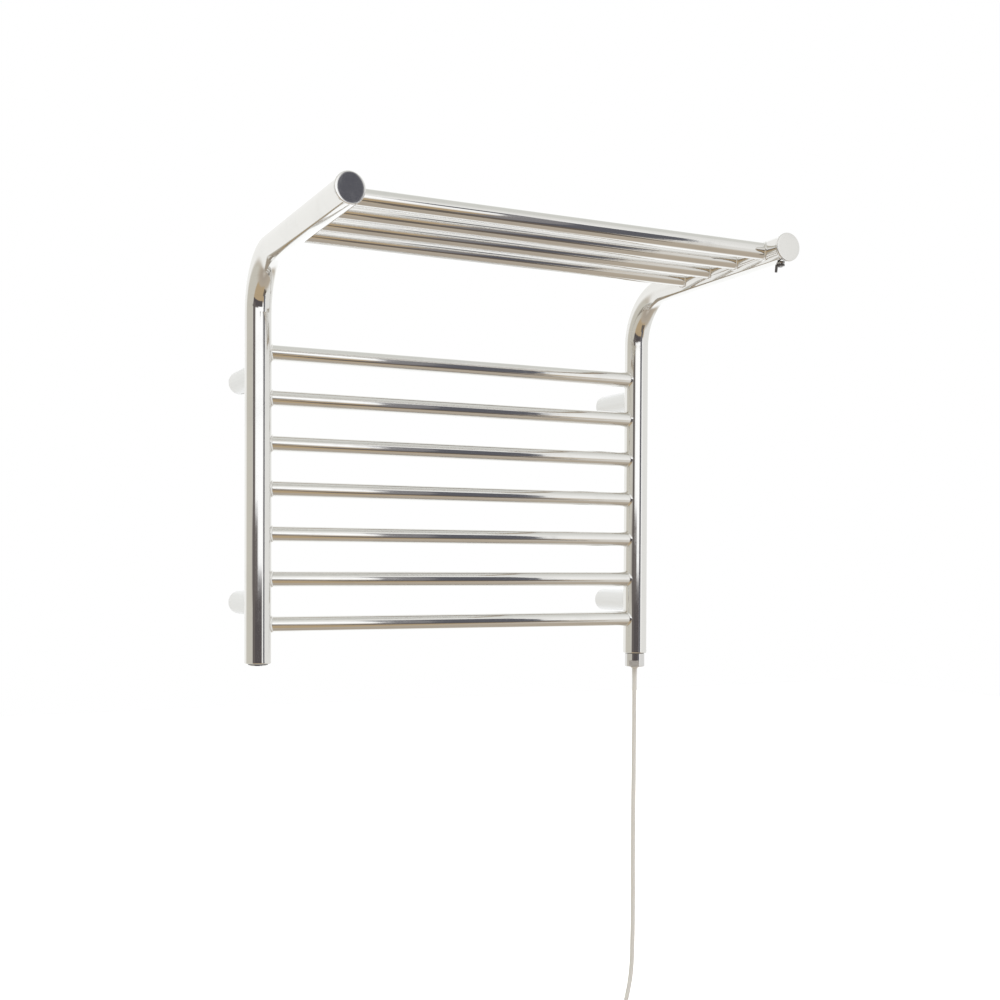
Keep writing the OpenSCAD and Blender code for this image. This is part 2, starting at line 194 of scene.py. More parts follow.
# ---- Rungs and shelf bars ----
# Eleven straight 22 mm tubes between the uprights: seven form the ladder and four the shelf.
# Their ends are scribed to the round of the uprights. They are buffed like the uprights, along X.

TUBE_RADIUS = 0.011
rung_names = [f"rung_{i}" for i in range(1, 8)]
bar_names = [f"shelf_bar_{i}" for i in range(1, 5)]
mirror_rung = finish_metal("mirror steel rungs", STEEL, lambda tree: along_axis(tree, "X"))
dress(mirror_rung, "polished_steel", *rung_names, *bar_names)

# ---- Welds ----
# A fusion weld runs round each end of every rung and bar, and round each bracket sleeve.
# It is a low bead about 2 mm wide with faint ripples, buffed with the tubes to the same shine.

WELD_LEG = 0.0018
SLEEVE_RADIUS = 0.016
SLEEVE_WELD_LEG = 0.0015
WELD_BULGE = 0.00022
ROUND_STEPS = 96


def skin(maker, rings, closed_rows=True):
    """Faces between rings of corners, each ring joined to the next, and the last to the first if closed."""
    following = rings[1:] + rings[:1] if closed_rows else rings[1:]
    for a, b in zip(rings, following):
        for k in range(len(a)):
            n = (k + 1) % len(a)
            maker.faces.new((a[k], a[n], b[n], b[k]))


def add_piece(name, mesh):
    """A finished mesh as an object in the scene."""
    piece = bpy.data.objects.new(name, mesh)
    bpy.context.scene.collection.objects.link(piece)
    return piece


def piece_from(maker, name, smooth=True):
    """A mesh made by hand as an object, with its faces turned outwards."""
    bmesh.ops.recalc_face_normals(maker, faces=maker.faces)
    for face in maker.faces:
        face.smooth = smooth
    mesh = bpy.data.meshes.new(name)
    maker.to_mesh(mesh)
    maker.free()
    return add_piece(name, mesh)


def weld_ring(name, radius, leg):
    """One bead round a tube of that radius, which leaves an upright along +X from its axis, Z."""
    bead = bmesh.new()
    crown = 6
    sunk = 0.0001
    root = 0.0008
    rings = []
    for i in range(ROUND_STEPS):
        turn = 2 * math.pi * i / ROUND_STEPS
        across, rise = math.cos(turn), math.sin(turn)
        wobble = 1 + 0.07 * math.sin(5 * turn + 1) + 0.05 * math.sin(11 * turn) + 0.03 * math.sin(37 * turn)
        wide = radius + leg * wobble

        def on_upright(r, lift=0.0):
            out_from_axis = math.sqrt(max(UPRIGHT_RADIUS ** 2 - (r * across) ** 2, 0))
            return Vector((out_from_axis + lift, r * across, r * rise))

        foot = on_upright(wide, -sunk)
        toe = on_upright(radius) + Vector((leg * wobble, 0, 0)) - Vector((0, across, rise)) * sunk
        out = Vector((1, across, rise)).normalized()
        ring = [foot.lerp(toe, k / crown) + out * WELD_BULGE * wobble * math.sin(math.pi * k / crown)
                for k in range(crown + 1)]
        ring.append(on_upright(radius - root, -root))
        rings.append([bead.verts.new(p) for p in ring])
    skin(bead, rings)
    ring = piece_from(bead, name)
    ring.hide_render = True
    return ring


def geometry_tree(name, inputs):
    """An empty Geometry Nodes tree with a geometry in and out and named inputs."""
    tree = bpy.data.node_groups.new(name, "GeometryNodeTree")
    tree.interface.new_socket("Geometry", in_out="INPUT", socket_type="NodeSocketGeometry")
    tree.interface.new_socket("Geometry", in_out="OUTPUT", socket_type="NodeSocketGeometry")
    for label, kind, value in inputs:
        socket = tree.interface.new_socket(label, in_out="INPUT", socket_type=kind)
        if value is not None:
            socket.default_value = value
    return tree, tree.nodes.new("NodeGroupInput").outputs, tree.nodes.new("NodeGroupOutput").inputs


def grow(name, start, tree, settings):
    """Runs a Geometry Nodes tree on a mesh or curve and returns the result as a plain mesh object."""
    seed = add_piece(name + "_seed", start)
    modifier = seed.modifiers.new("grow", "NODES")
    modifier.node_group = tree
    sockets = {s.name: s.identifier for s in tree.interface.items_tree if s.in_out == "INPUT"}
    for label, value in settings.items():
        modifier[sockets[label]] = value
    evaluated = seed.evaluated_get(bpy.context.evaluated_depsgraph_get())
    mesh = bpy.data.meshes.new_from_object(evaluated)
    mesh.name = name
    bpy.data.objects.remove(seed)
    return add_piece(name, mesh)


def make_weld_tree():
    """Puts a bead at every point, turned by the point's own angles."""
    tree, given, out = geometry_tree("welds at joints", [
        ("Bead", "NodeSocketObject", None), ("Unevenness", "NodeSocketFloat", 0.00006),
        ("Material", "NodeSocketMaterial", None)])
    bead = add_node(tree, "GeometryNodeObjectInfo", Object=given["Bead"])
    angles = add_node(tree, "GeometryNodeInputNamedAttribute", {"data_type": "FLOAT_VECTOR"}, Name="turn")
    placed = add_node(tree, "GeometryNodeInstanceOnPoints", Points=given["Geometry"],
                      Instance=bead.outputs["Geometry"], Rotation=angles.outputs[0])
    solid = add_node(tree, "GeometryNodeRealizeInstances", Geometry=placed.outputs[0])
    lumps = add_node(tree, "ShaderNodeTexNoise", Scale=160.0, Detail=1.0).outputs["Fac"]
    lift = math_node(tree, "MULTIPLY", math_node(tree, "SUBTRACT", lumps, 0.5), given["Unevenness"])
    push = add_node(tree, "ShaderNodeVectorMath", {"operation": "SCALE"},
                    i0=add_node(tree, "GeometryNodeInputNormal").outputs[0], Scale=lift)
    moved = add_node(tree, "GeometryNodeSetPosition", Geometry=solid.outputs[0], Offset=push.outputs[0])
    painted = add_node(tree, "GeometryNodeSetMaterial", Geometry=moved.outputs[0], Material=given["Material"])
    tree.links.new(painted.outputs[0], out["Geometry"])
    return tree


def joint_points(name, joints):
    """A mesh of loose points, one for each joint, with the angles that turn a bead onto it."""
    mesh = bpy.data.meshes.new(name)
    mesh.from_pydata([p for p, _ in joints], [], [])
    turns = mesh.attributes.new("turn", "FLOAT_VECTOR", "POINT")
    for i, (_, angles) in enumerate(joints):
        turns.data[i].vector = angles
    return mesh


def middle(name):
    """The middle of a piece's box."""
    low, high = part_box(name)
    return (low + high) / 2


weld_tree = make_weld_tree()
weld_steel = finish_metal("buffed weld steel", STEEL, lambda tree: along_axis(tree, "X"), Roughness=0.09,
                          Waviness=0.00012, Line_Width=0.0009)
rung_bead = weld_ring("rung_bead", TUBE_RADIUS, WELD_LEG)
sleeve_bead = weld_ring("sleeve_bead", SLEEVE_RADIUS, SLEEVE_WELD_LEG)
rung_joints = []
for name in rung_names + bar_names:
    centre, tilt = middle(name), (math.pi / 2 if name in bar_names else 0)
    rung_joints.append(((LEFT_X, centre.y, centre.z), (tilt, 0, 0)))
    rung_joints.append(((RIGHT_X, centre.y, centre.z), (tilt, 0, math.pi)))
corners = [f"{level}_{side}" for level in ("upper", "lower") for side in ("left", "right")]
sleeve_names = ["bracket_sleeve_" + corner for corner in corners]
sleeve_joints = [((middle(n).x, UPRIGHT_Y, middle(n).z), (0, 0, math.pi / 2)) for n in sleeve_names]
for piece_name, joints, bead in (("rung_welds", rung_joints, rung_bead),
                                 ("bracket_welds", sleeve_joints, sleeve_bead)):
    welds = grow(piece_name, joint_points(piece_name + "_points", joints), weld_tree,
                 {"Bead": bead, "Material": weld_steel})
    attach(welds, "rail")
for bead in (rung_bead, sleeve_bead):
    bpy.data.objects.remove(bead)

# ---- Caps and bottom plates ----
# Discs of 3 mm plate close the arms' front ends and the uprights' lower ends.
# They are welded in flush and buffed in small circles, which leaves their faces a little uneven.


CAP_THICKNESS = 0.003
PLUG_RADIUS = 0.0164
PLUG_DEPTH = 0.002


def front_cap(name, side_x, lean):
    """A buffed disc with a rounded edge. Its face is slightly domed and leans a little towards +X."""
    face_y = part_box("left_front_cap")[0].y
    cap = bmesh.new()
    edge = 0.0010
    dome = 0.00012
    flat = UPRIGHT_RADIUS - edge
    drop = UPRIGHT_RADIUS * math.tan(lean)
    outline = [(flat * k / 6, dome * (k / 6) ** 2) for k in range(1, 7)]
    outline += [(flat + edge * math.sin(a), dome + edge * (1 - math.cos(a)))
                for a in (math.radians(15 * k) for k in range(1, 7))]
    outline += [(UPRIGHT_RADIUS, CAP_THICKNESS), (PLUG_RADIUS, CAP_THICKNESS),
                (PLUG_RADIUS, CAP_THICKNESS + PLUG_DEPTH)]
    tip = cap.verts.new((side_x, face_y + drop, ARM_Z))
    end = cap.verts.new((side_x, face_y + CAP_THICKNESS + PLUG_DEPTH, ARM_Z))
    rings = []
    for r, back in outline:
        ring = []
        for i in range(ROUND_STEPS):
            a = 2 * math.pi * i / ROUND_STEPS
            slant = (drop + r * math.cos(a) * math.tan(lean)) * max(0.0, 1 - back / CAP_THICKNESS)
            ring.append(cap.verts.new((side_x + r * math.cos(a), face_y + back + slant,
                                       ARM_Z + r * math.sin(a))))
        rings.append(ring)
    for i in range(ROUND_STEPS):
        n = (i + 1) % ROUND_STEPS
        cap.faces.new((tip, rings[0][i], rings[0][n]))
        cap.faces.new((end, rings[-1][n], rings[-1][i]))
    skin(cap, rings, closed_rows=False)
    piece = piece_from(cap, name)
    piece.data.materials.append(cap_steel)
    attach(piece, "rail")
    return piece


cap_steel = finish_metal("mirror steel caps and plates", STEEL, lambda tree: along_axis(tree, "X"),
                         Waviness=0.00006, Bloom=0.09)
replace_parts(front_cap("left_cap", LEFT_X, math.radians(2.9)), "left_front_cap")
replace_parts(front_cap("right_cap", RIGHT_X, 0.0), "right_front_cap")
dress(cap_steel, "polished_steel", "left_bottom_plate", "right_bottom_plate", "vent_bush")

# ---- Wall brackets ----
# Each bracket is a turned sleeve welded to the back of an upright, over a spigot screwed to the wall.
# The sleeve is finely turned and lightly polished along its length; a grub screw below locks it.


def make_brush_group():
    """Fine scratches along a piece, close together, with a few deeper ones."""
    group, given, out = new_group(
        "brushed steel",
        [("Vector", "NodeSocketVector", None), ("Roughness", "NodeSocketFloat", 0.26),
         ("Depth", "NodeSocketFloat", 0.000006)],
        [("Roughness", "NodeSocketFloat"), ("Height", "NodeSocketFloat"), ("Tone", "NodeSocketFloat")])
    lines = noise(group, scaled(group, given["Vector"], (14.0, 1900.0, 1900.0)), 1.0, 4.0, 0.7)
    streaks = noise(group, scaled(group, given["Vector"], (5.0, 230.0, 230.0)), 1.0)
    both = math_node(group, "MULTIPLY_ADD", streaks, 0.6, lines)
    group.links.new(math_node(group, "MULTIPLY_ADD", both, 0.14, given["Roughness"]), out["Roughness"])
    group.links.new(math_node(group, "MULTIPLY", lines, given["Depth"]), out["Height"])
    group.links.new(math_node(group, "MULTIPLY_ADD", streaks, 0.16, 0.90), out["Tone"])
    return group


brushed = make_brush_group()
SATIN = (0.80, 0.80, 0.79)
satin_sleeve = finish_metal("satin steel sleeves", SATIN, lambda tree: along_axis(tree, "Y"), brushed)
dress(satin_sleeve, "satin_steel", *sleeve_names, *["wall_spigot_" + corner for corner in corners])
screw_steel = finish_metal("plain screw steel", (0.56, 0.55, 0.54), lambda tree: along_axis(tree, "Z"),
                           brushed)
dress(screw_steel, "screw_steel", "grub_screws")

# ---- Blanking plug ----
# The left upright isn't heated from below, so its half-inch port is closed with a turned brass plug,
# plated like the vent, on a black rubber ring.


def finish_plain(name, colour, roughness, grain_scale, grain_depth, coat=0.0):
    """A plastic or rubber with a fine moulded grain and slight mottling of its colour and shine."""
    mottle = 0.06
    material, tree, shader = new_material(name)
    shader.inputs["Coat Weight"].default_value = coat
    place = object_place(tree)
    grain = noise(tree, place, grain_scale, 3.0, 0.6)
    cloud = noise(tree, place, 90.0, 3.0)
    tone = math_node(tree, "MULTIPLY_ADD", cloud, mottle, 1 - mottle / 2)
    tint = add_node(tree, "ShaderNodeVectorMath", {"operation": "SCALE"}, i0=colour, Scale=tone)
    tree.links.new(tint.outputs[0], shader.inputs["Base Color"])
    spread = 0.16
    tree.links.new(math_node(tree, "MULTIPLY_ADD", cloud, spread, roughness - spread / 2),
                   shader.inputs["Roughness"])
    height = math_node(tree, "MULTIPLY", grain, grain_depth)
    bump = add_node(tree, "ShaderNodeBump", Strength=1.0, Distance=1.0, Height=height)
    tree.links.new(bump.outputs["Normal"], shader.inputs["Normal"])
    return material


rubber = finish_plain("black sealing rubber", (0.035, 0.035, 0.037), 0.62, 2600.0, 0.00003)
dress(finish_metal("plated plug", (0.76, 0.75, 0.73), lambda tree: along_axis(tree, "X"), Bloom=0.08),
      "polished_steel", "blanking_plug")
dress(rubber, "dark_rubber", "plug_seal", "element_seal")

# ---- Heating element ----
# The element screws into the right upright's port. Its head is turned brass, plated bright, with two
# flats milled across it for a spanner. The milling is left matt. The rod stands inside the upright.

HEAD_FLAT_TURN = math.radians(35)
HEAD_FLAT_OUT = 0.013
HEAD_FLAT_HEIGHT = 0.009
FLAT_MARGIN = 0.00005


def make_head_material():
    """Bright plate, with the two milled flats dull and finely pecked."""
    material = finish_metal("plated element head", (0.72, 0.71, 0.70), lambda tree: along_axis(tree, "Z"),
                            Line_Width=0.0003, Bloom=0.08)
    tree = material.node_tree
    pattern = next(n for n in tree.nodes if n.type == "GROUP").outputs
    place = object_place(tree)
    from_axis = add_node(tree, "ShaderNodeVectorMath", {"operation": "SUBTRACT"}, i0=place,
                         i1=(RIGHT_X, UPRIGHT_Y, 0))
    facing = (-math.sin(HEAD_FLAT_TURN), -math.cos(HEAD_FLAT_TURN), 0)
    out = add_node(tree, "ShaderNodeVectorMath", {"operation": "DOT_PRODUCT"}, i0=from_axis.outputs[0],
                   i1=facing).outputs["Value"]
    flat = math_node(tree, "GREATER_THAN", math_node(tree, "ABSOLUTE", out), HEAD_FLAT_OUT - FLAT_MARGIN)
    height = add_node(tree, "ShaderNodeSeparateXYZ", Vector=place).outputs[2]
    flat_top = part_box("element_head")[0].z + HEAD_FLAT_HEIGHT + 2 * FLAT_MARGIN
    flat = math_node(tree, "MULTIPLY", flat, math_node(tree, "LESS_THAN", height, flat_top))
    pecks = noise(tree, place, 2300.0)
    rough = add_node(tree, "ShaderNodeMix", Factor=flat, i2=pattern["Roughness"],
                     i3=math_node(tree, "MULTIPLY_ADD", pecks, 0.25, 0.30))
    tree.links.new(rough.outputs[0], tree.nodes["Principled BSDF"].inputs["Roughness"])
    bump = next(n for n in tree.nodes if n.type == "BUMP")
    peck_depth = 0.00008
    peck_height = math_node(tree, "MULTIPLY", pecks, math_node(tree, "MULTIPLY", flat, peck_depth))
    tree.links.new(math_node(tree, "ADD", pattern["Height"], peck_height), bump.inputs["Height"])
    return material


dress(make_head_material(), "plated_brass", "element_head")
dress(screw_steel, "screw_steel", "element_rod")
white_moulding = finish_plain("white moulded plastic", (0.80, 0.79, 0.765), 0.42, 1500.0, 0.00002, coat=0.1)
dress(white_moulding, "white_moulding", "cable_gland")

# ---- Cable ----
# A 1.2 m length of 7 mm white heat-resistant flex hangs from the gland. Its lower part is folded into
# a hank for storage, held by a tie, and its end is stripped back for the installer to wire in.

CABLE_RADIUS = 0.0035
cable_route = [(292, -95, -268), (292, -95, -290), (292, -95, -315), (292, -95, -345), (291, -96, -380),
               (291, -96, -420), (290, -97, -465), (290, -97, -510), (290, -97, -555), (291, -96, -600),
               (291, -96, -640), (291, -95, -675), (290, -95, -705), (287, -95, -730), (282, -95, -753),
               (276, -95, -775), (272, -95, -796)]
HANK_X, HANK_TOP, HANK_BOTTOM, FOLD_RADIUS = 0.292, -0.800, -0.880, 0.021
HANK_SHIFT = 0.0074
CABLE_END_Z = -0.893


def cable_line():
    """Points down the drop on a smooth curve, then round the hank, to the cut end of the sheath."""
    step = 0.004
    steps_between = 4
    drop = [Vector(p) / 1000 for p in cable_route]
    drop.append(Vector((HANK_X - FOLD_RADIUS, UPRIGHT_Y, HANK_TOP - step)))
    line = []
    padded = [2 * drop[0] - drop[1]] + drop + [drop[-1] + Vector((0, 0, -0.02))]
    for a, b, c, d in zip(padded, padded[1:], padded[2:], padded[3:]):
        for k in range(steps_between):
            t = k / steps_between
            line.append(0.5 * (2 * b + (c - a) * t + (2 * a - 5 * b + 4 * c - d) * t * t
                               + (3 * b - a - 3 * c + d) * t * t * t))
    run, fold = HANK_TOP - HANK_BOTTOM, math.pi * FOLD_RADIUS
    lap = 2 * (run + fold)
    total = 2 * lap + HANK_TOP - CABLE_END_Z
    gone = step
    while gone < total + step / 2:
        gone = min(gone, total)
        s = gone % lap
        if gone > 2 * lap:
            x, z = -FOLD_RADIUS, HANK_TOP - (gone - 2 * lap)
        elif s < run:
            x, z = -FOLD_RADIUS, HANK_TOP - s
        elif s < run + fold:
            a = (s - run) / FOLD_RADIUS
            x, z = -FOLD_RADIUS * math.cos(a), HANK_BOTTOM - FOLD_RADIUS * math.sin(a)
        elif s < 2 * run + fold:
            x, z = FOLD_RADIUS, HANK_BOTTOM + s - run - fold
        else:
            a = (s - 2 * run - fold) / FOLD_RADIUS
            x, z = FOLD_RADIUS * math.cos(a), HANK_TOP + FOLD_RADIUS * math.sin(a)
        line.append(Vector((HANK_X + x, UPRIGHT_Y + HANK_SHIFT * gone / lap, z)))
        if gone >= total:
            break
        gone += step
    return line


def path_curve(name, points):
    """A curve of one open line of straight steps."""
    curve = bpy.data.curves.new(name, "CURVE")
    curve.dimensions = "3D"
    spline = curve.splines.new("POLY")
    spline.points.add(len(points) - 1)
    for point, place in zip(spline.points, points):
        point.co = (*place, 1)
    return curve


def make_tube_tree():
    """Sweeps a round along a curve, closes its ends and keeps how far along and round each point is."""
    tree, given, out = geometry_tree("round tube along a path", [
        ("Radius", "NodeSocketFloat", CABLE_RADIUS), ("Sides", "NodeSocketInt", 24),
        ("Material", "NodeSocketMaterial", None)])
    ring = add_node(tree, "GeometryNodeCurvePrimitiveCircle", Resolution=given["Sides"],
                    Radius=given["Radius"])
    spot = add_node(tree, "GeometryNodeSplineParameter").outputs
    on_points = {"data_type": "FLOAT", "domain": "POINT"}
    along = add_node(tree, "GeometryNodeStoreNamedAttribute", on_points, Geometry=given["Geometry"],
                     Name="along", Value=spot["Length"])
    around = add_node(tree, "GeometryNodeStoreNamedAttribute", on_points, Geometry=ring.outputs[0],
                      Name="around", Value=spot["Factor"])
    tube = add_node(tree, "GeometryNodeCurveToMesh", Curve=along.outputs[0], Profile_Curve=around.outputs[0],
                    Fill_Caps=True)
    smooth = add_node(tree, "GeometryNodeSetShadeSmooth", Geometry=tube.outputs[0])
    solid = add_node(tree, "GeometryNodeRealizeInstances", Geometry=smooth.outputs[0])
    painted = add_node(tree, "GeometryNodeSetMaterial", Geometry=solid.outputs[0], Material=given["Material"])
    tree.links.new(painted.outputs[0], out["Geometry"])
    return tree


def from_sweep(tree, name):
    """How far along, in metres, or around, 0 to 1, a point of a swept tube is."""
    return add_node(tree, "ShaderNodeAttribute", {"attribute_name": name}).outputs["Fac"]


def make_sheath_material():
    """White sheath: satin, with faint long extrusion lines and the lay of the cores showing through."""
    material = finish_plain("white cable sheath", (0.80, 0.79, 0.765), 0.5, 1800.0, 0.000015)
    tree = material.node_tree
    shader = tree.nodes["Principled BSDF"]
    shader.inputs["Subsurface Weight"].default_value = 0.15
    shader.inputs["Subsurface Radius"].default_value = (0.004, 0.0035, 0.003)
    shader.inputs["Subsurface Scale"].default_value = 0.5
    along, around = from_sweep(tree, "along"), from_sweep(tree, "around")
    lay_length = 0.016
    lay_depth, line_depth = 0.00002, 0.00004
    lay = math_node(tree, "SINE", math_node(tree, "MULTIPLY_ADD", around, 6 * math.pi,
                                            math_node(tree, "MULTIPLY", along, 2 * math.pi / lay_length)))
    spot = add_node(tree, "ShaderNodeCombineXYZ", X=math_node(tree, "MULTIPLY", along, 8.0),
                    Y=math_node(tree, "MULTIPLY", around, 60.0)).outputs[0]
    bump = next(n for n in tree.nodes if n.type == "BUMP")
    grain = bump.inputs["Height"].links[0].from_socket
    height = math_node(tree, "MULTIPLY_ADD", lay, lay_depth, grain)
    height = math_node(tree, "MULTIPLY_ADD", noise(tree, spot, 1.0), line_depth, height)
    tree.links.new(height, bump.inputs["Height"])
    return material


tube_tree = make_tube_tree()
white_sheath = make_sheath_material()
cable_points = cable_line()
cable = grow("cable", path_curve("cable_line", cable_points), tube_tree,
             {"Radius": CABLE_RADIUS, "Sides": 28, "Material": white_sheath})
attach(cable, "rail")
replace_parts(cable, "cable_drop", "cable_hank")

# ---- Cores ----
# Three PVC-insulated cores leave the cut sheath: brown, blue, and green with a yellow stripe.
# Each is stripped at its end, where the twisted copper strands show.

CORE_RADIUS = 0.0012
CORE_TURNS = {"brown": 90, "blue": 210, "earth": 330}
CORE_COLOURS = {"brown": (0.16, 0.055, 0.018), "blue": (0.02, 0.10, 0.42), "earth": (0.09, 0.30, 0.045)}
YELLOW = (0.80, 0.62, 0.02, 1)
STRIPPED = 0.007
HELD_IN_SHEATH = 0.003
STRAND_RADIUS = 0.00028
STRAND_RING = 0.00052
STRAND_HIDDEN = 0.001
STRAND_LENGTH = 0.0078
STRAND_TWIST = 2.4


def stripe_earth(material):
    """Adds the yellow stripe, in a slow spiral round the green."""
    tree = material.node_tree
    shader = tree.nodes["Principled BSDF"]
    turn_length = 0.04
    along, around = from_sweep(tree, "along"), from_sweep(tree, "around")
    wave = math_node(tree, "SINE", math_node(tree, "MULTIPLY_ADD", around, 2 * math.pi,
                                             math_node(tree, "MULTIPLY", along, 2 * math.pi / turn_length)))
    green = shader.inputs["Base Color"].links[0].from_socket
    mix = add_node(tree, "ShaderNodeMix", {"data_type": "RGBA"}, Factor=fade(tree, wave, 0.10, 0.22),
                   i6=green, i7=YELLOW)
    tree.links.new(mix.outputs[2], shader.inputs["Base Color"])


copper = finish_metal("bare copper", (0.80, 0.36, 0.20), lambda tree: along_axis(tree, "Z"), brushed,
                      Roughness=0.22)
cable_end = cable_points[-1]
core_length = cable_end.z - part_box("core_brown")[0].z
for core_name, turn in CORE_TURNS.items():
    out = Vector((math.cos(math.radians(turn)), math.sin(math.radians(turn)), 0))
    insulation = finish_plain(core_name + " insulation", CORE_COLOURS[core_name], 0.38, 1500.0, 0.00001)
    if core_name == "earth":
        stripe_earth(insulation)
    line = []
    for k in range(13):
        t = k / 12
        spread = 0.00140 + 0.0030 * t * t
        height = HELD_IN_SHEATH - (core_length + HELD_IN_SHEATH - STRIPPED) * t
        line.append(cable_end + out * spread + Vector((0, 0, height)))
    core = grow("core_" + core_name + "_insulation", path_curve(core_name + "_line", line), tube_tree,
                {"Radius": CORE_RADIUS, "Sides": 16, "Material": insulation})
    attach(core, "rail")
    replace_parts(core, "core_" + core_name)
    strands = bmesh.new()
    for strand in range(7):
        angle = 2 * math.pi * strand / 6
        reach = 0.0 if strand == 6 else STRAND_RING
        spots = []
        for k in range(9):
            t = k / 8
            twist = angle + STRAND_TWIST * t
            spots.append(line[-1] + Vector((reach * math.cos(twist), reach * math.sin(twist),
                                            STRAND_HIDDEN - STRAND_LENGTH * t)))
        wire = grow("strand", path_curve("strand_line", spots), tube_tree,
                    {"Radius": STRAND_RADIUS, "Sides": 8, "Material": copper})
        strands.from_mesh(wire.data)
        bpy.data.objects.remove(wire)
    bundle = piece_from(strands, f"core_{core_name}_strands")
    bundle.data.materials.append(copper)
    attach(bundle, "rail")

# ---- Cable tie ----
# A 5 mm nylon tie holds the hank round its middle. Its lock is in front and its tail is cut short.

TIE_THICKNESS = 0.0012
TIE_HEIGHT = 0.005


def tie_band():
    """A strap round the hank's runs with rounded corners, its lock block, and the stub of its tail."""
    low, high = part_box("cable_hank")
    tie_low, tie_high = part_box("cable_tie")
    z0 = (tie_low.z + tie_high.z) / 2
    corner = 0.0042
    band = bmesh.new()
    loop = []
    for cx, cy, start in ((high.x - corner, high.y - corner, 0), (low.x + corner, high.y - corner, 90),
                          (low.x + corner, low.y + corner, 180), (high.x - corner, low.y + corner, 270)):
        for k in range(7):
            a = math.radians(start + 15 * k)
            loop.append((cx, cy, math.cos(a), math.sin(a)))
    section = [(0.0, -1), (0.0, 1), (0.8, 1), (1.0, 0.84), (1.0, -0.84), (0.8, -1)]
    rings = [[band.verts.new((cx + (corner + TIE_THICKNESS * u) * c, cy + (corner + TIE_THICKNESS * u) * s,
                              z0 + w * TIE_HEIGHT / 2)) for u, w in section] for cx, cy, c, s in loop]
    skin(band, rings)
    lock = bmesh.ops.create_cube(band, size=1.0)["verts"]
    front = low.y - TIE_THICKNESS
    for v in lock:
        v.co = Vector((HANK_X + v.co.x * 0.0078, front - 0.0019 + v.co.y * 0.0038, z0 + v.co.z * 0.0074))
    bmesh.ops.bevel(band, geom=[e for e in band.edges if e.verts[0] in lock and e.verts[1] in lock],
                    offset=0.0008, segments=3, affect="EDGES")
    tail = bmesh.ops.create_cube(band, size=1.0)["verts"]
    for v in tail:
        v.co = Vector((HANK_X + 0.0055 + v.co.x * 0.005, front - 0.0012 + v.co.y * 0.0011,
                       z0 + v.co.z * 0.0044))
    piece = piece_from(band, "tie", smooth=False)
    piece.data.materials.append(white_moulding)
    return piece


tie = tie_band()
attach(tie, "rail")
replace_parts(tie, "cable_tie")

# ---- Air vent ----
# A plated brass vent under the right arm lets air out as the rail is filled. A dark plastic ring with
# a spout turns on its neck, and a slotted screw closes it.

dress(finish_metal("plated vent", (0.44, 0.43, 0.42), lambda tree: along_axis(tree, "Z"), Roughness=0.14),
      "plated_brass", "vent_body", "vent_screw")
dress(finish_plain("dark moulded plastic", (0.085, 0.078, 0.076), 0.4, 1500.0, 0.00002, coat=0.2),
      "dark_plastic", "vent_nozzle")

# ---- Studio ----
# A white room: white paper behind and below, a bright window wall in front, a pale ceiling, a wooden
# floor, dark furniture below and beside the window, and a dark bench and post in front of the rail.


def seen_patch_group():
    """A soft-edged patch of the room, from its middle and half sizes, in degrees round and up."""
    group, given, out = new_group(
        "patch of room",
        [("Azimuth", "NodeSocketFloat", None), ("Elevation", "NodeSocketFloat", None),
         ("Middle Azimuth", "NodeSocketFloat", 0.0), ("Half Width", "NodeSocketFloat", 10.0),
         ("Middle Elevation", "NodeSocketFloat", 0.0), ("Half Height", "NodeSocketFloat", 10.0),
         ("Softness", "NodeSocketFloat", 2.0), ("Softness Up", "NodeSocketFloat", 2.0)],
        [("Mask", "NodeSocketFloat")])
    masks = []
    for seen, centre, half, soft in (("Azimuth", "Middle Azimuth", "Half Width", "Softness"),
                                     ("Elevation", "Middle Elevation", "Half Height", "Softness Up")):
        off = math_node(group, "ABSOLUTE", math_node(group, "SUBTRACT", given[seen], given[centre]))
        inside = math_node(group, "DIVIDE", math_node(group, "SUBTRACT", given[half], off), given[soft])
        masks.append(fade(group, inside, -0.5, 0.5))
    group.links.new(math_node(group, "MULTIPLY", *masks), out["Mask"])
    return group


world = bpy.data.worlds.new("white room")
bpy.context.scene.world = world
world.use_nodes = True
sky = world.node_tree
sky.nodes.clear()
toward = add_node(sky, "ShaderNodeTexCoord").outputs["Generated"]
way = add_node(sky, "ShaderNodeSeparateXYZ", Vector=toward).outputs
DEGREES = 180 / math.pi
forward = math_node(sky, "MULTIPLY", way[1], -1.0)
azimuth = math_node(sky, "MULTIPLY", math_node(sky, "ARCTAN2", way[0], forward), DEGREES)
elevation = math_node(sky, "MULTIPLY", math_node(sky, "ARCSINE", way[2]), DEGREES)
ramp = add_node(sky, "ShaderNodeValToRGB", Fac=math_node(sky, "MULTIPLY_ADD", elevation, 1 / 180, 0.5))


def shown(r, g, b):
    """Light that a polished tube shows as this screen colour, 0 to 255."""
    return tuple(((c / 255 + 0.055) / 1.055) ** 2.4 / s for c, s in zip((r, g, b), STEEL)) + (1.0,)


